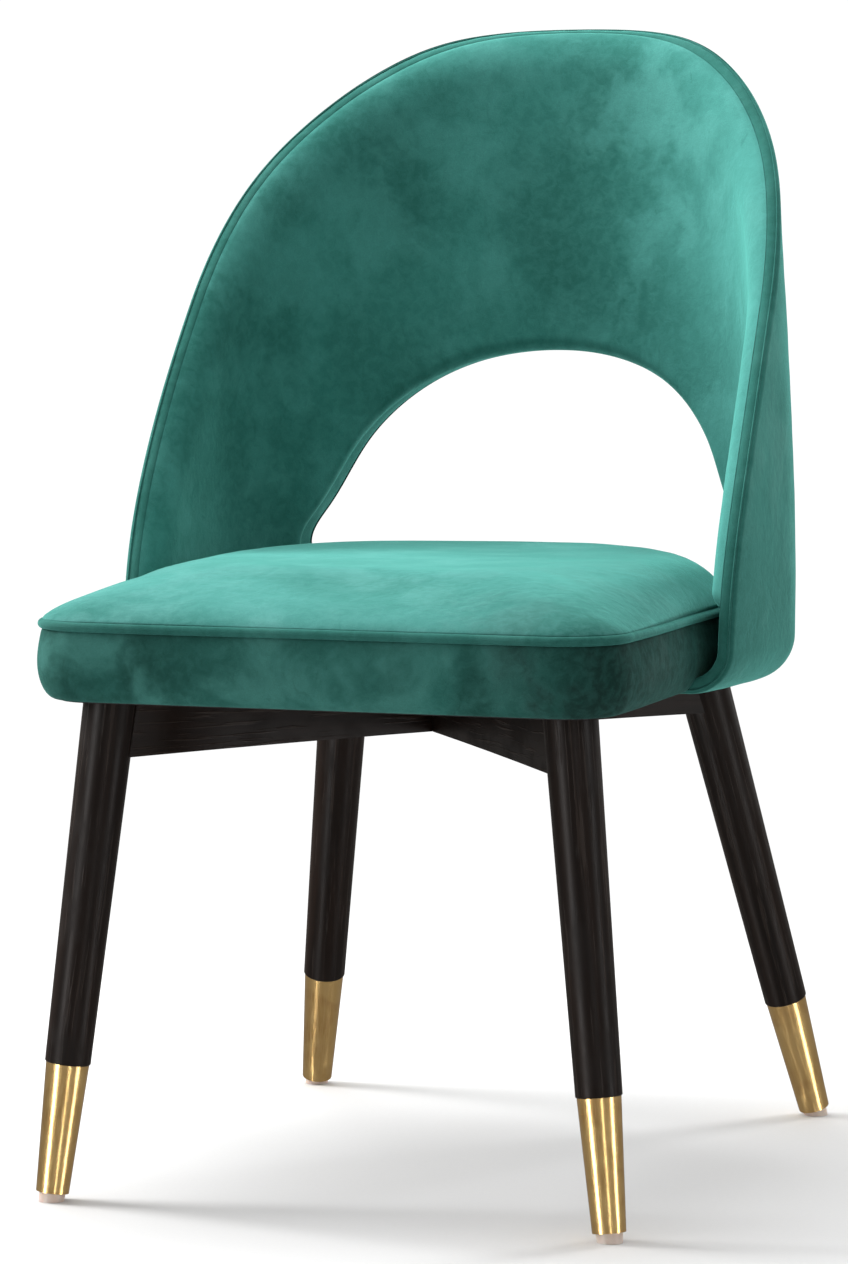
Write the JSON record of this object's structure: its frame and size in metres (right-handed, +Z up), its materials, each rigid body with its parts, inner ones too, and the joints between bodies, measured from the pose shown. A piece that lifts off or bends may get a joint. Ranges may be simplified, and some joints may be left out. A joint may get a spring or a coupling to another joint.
{
  "type": "dining chair",
  "caption": "Upholstered dining chair: padded seat, bent barrel back with an arched cut-out, round tapered wooden legs with brass ends on a crossed-rail frame.",
  "frame": {"origin": "on the floor, under the middle of the chair's outline", "axes": "+Z up; the sitter faces -Y; +X is the sitter's left hand side, which is the viewer's right from the front"},
  "size_m": [0.5024, 0.6112, 0.8747],
  "materials": {
    "velvet": "cut-pile velvet, satin sheen",
    "black_wood": "black-stained open-grained wood, satin lacquer",
    "brass": "brushed along the leg",
    "glide_plastic": "milky plastic",
    "steel": "zinc plated",
    "beech": "raw",
    "plywood": "raw",
    "foam": "open-cell foam",
    "black_cloth": "non-woven cloth"
  },
  "bodies": {
    "root": {"leg_front_left": "black_wood", "leg_front_right": "black_wood", "leg_back_left": "black_wood", "leg_back_right": "black_wood", "ferrule_front_left": "brass", "ferrule_front_right": "brass", "ferrule_back_left": "brass", "ferrule_back_right": "brass", "glide_front_left": "glide_plastic", "glide_front_right": "glide_plastic", "glide_back_left": "glide_plastic", "glide_back_right": "glide_plastic", "glide_nails": "steel", "cross_rail_left": "black_wood", "cross_rail_right": "black_wood", "rail_dowels": "beech", "frame_bolts": "steel", "tee_nuts": "steel", "seat_board": "plywood", "seat_foam": "foam", "back_outer_cover": "velvet", "back_inner_cover": "velvet", "back_rim_band": "velvet", "seat_top_cover": "velvet", "seat_boxing": "velvet", "seat_piping": "velvet", "dust_cover": "black_cloth", "back_shell_ply": "plywood", "back_pad_foam": "foam", "shell_screws": "steel"}
  },
  "joints": []
}
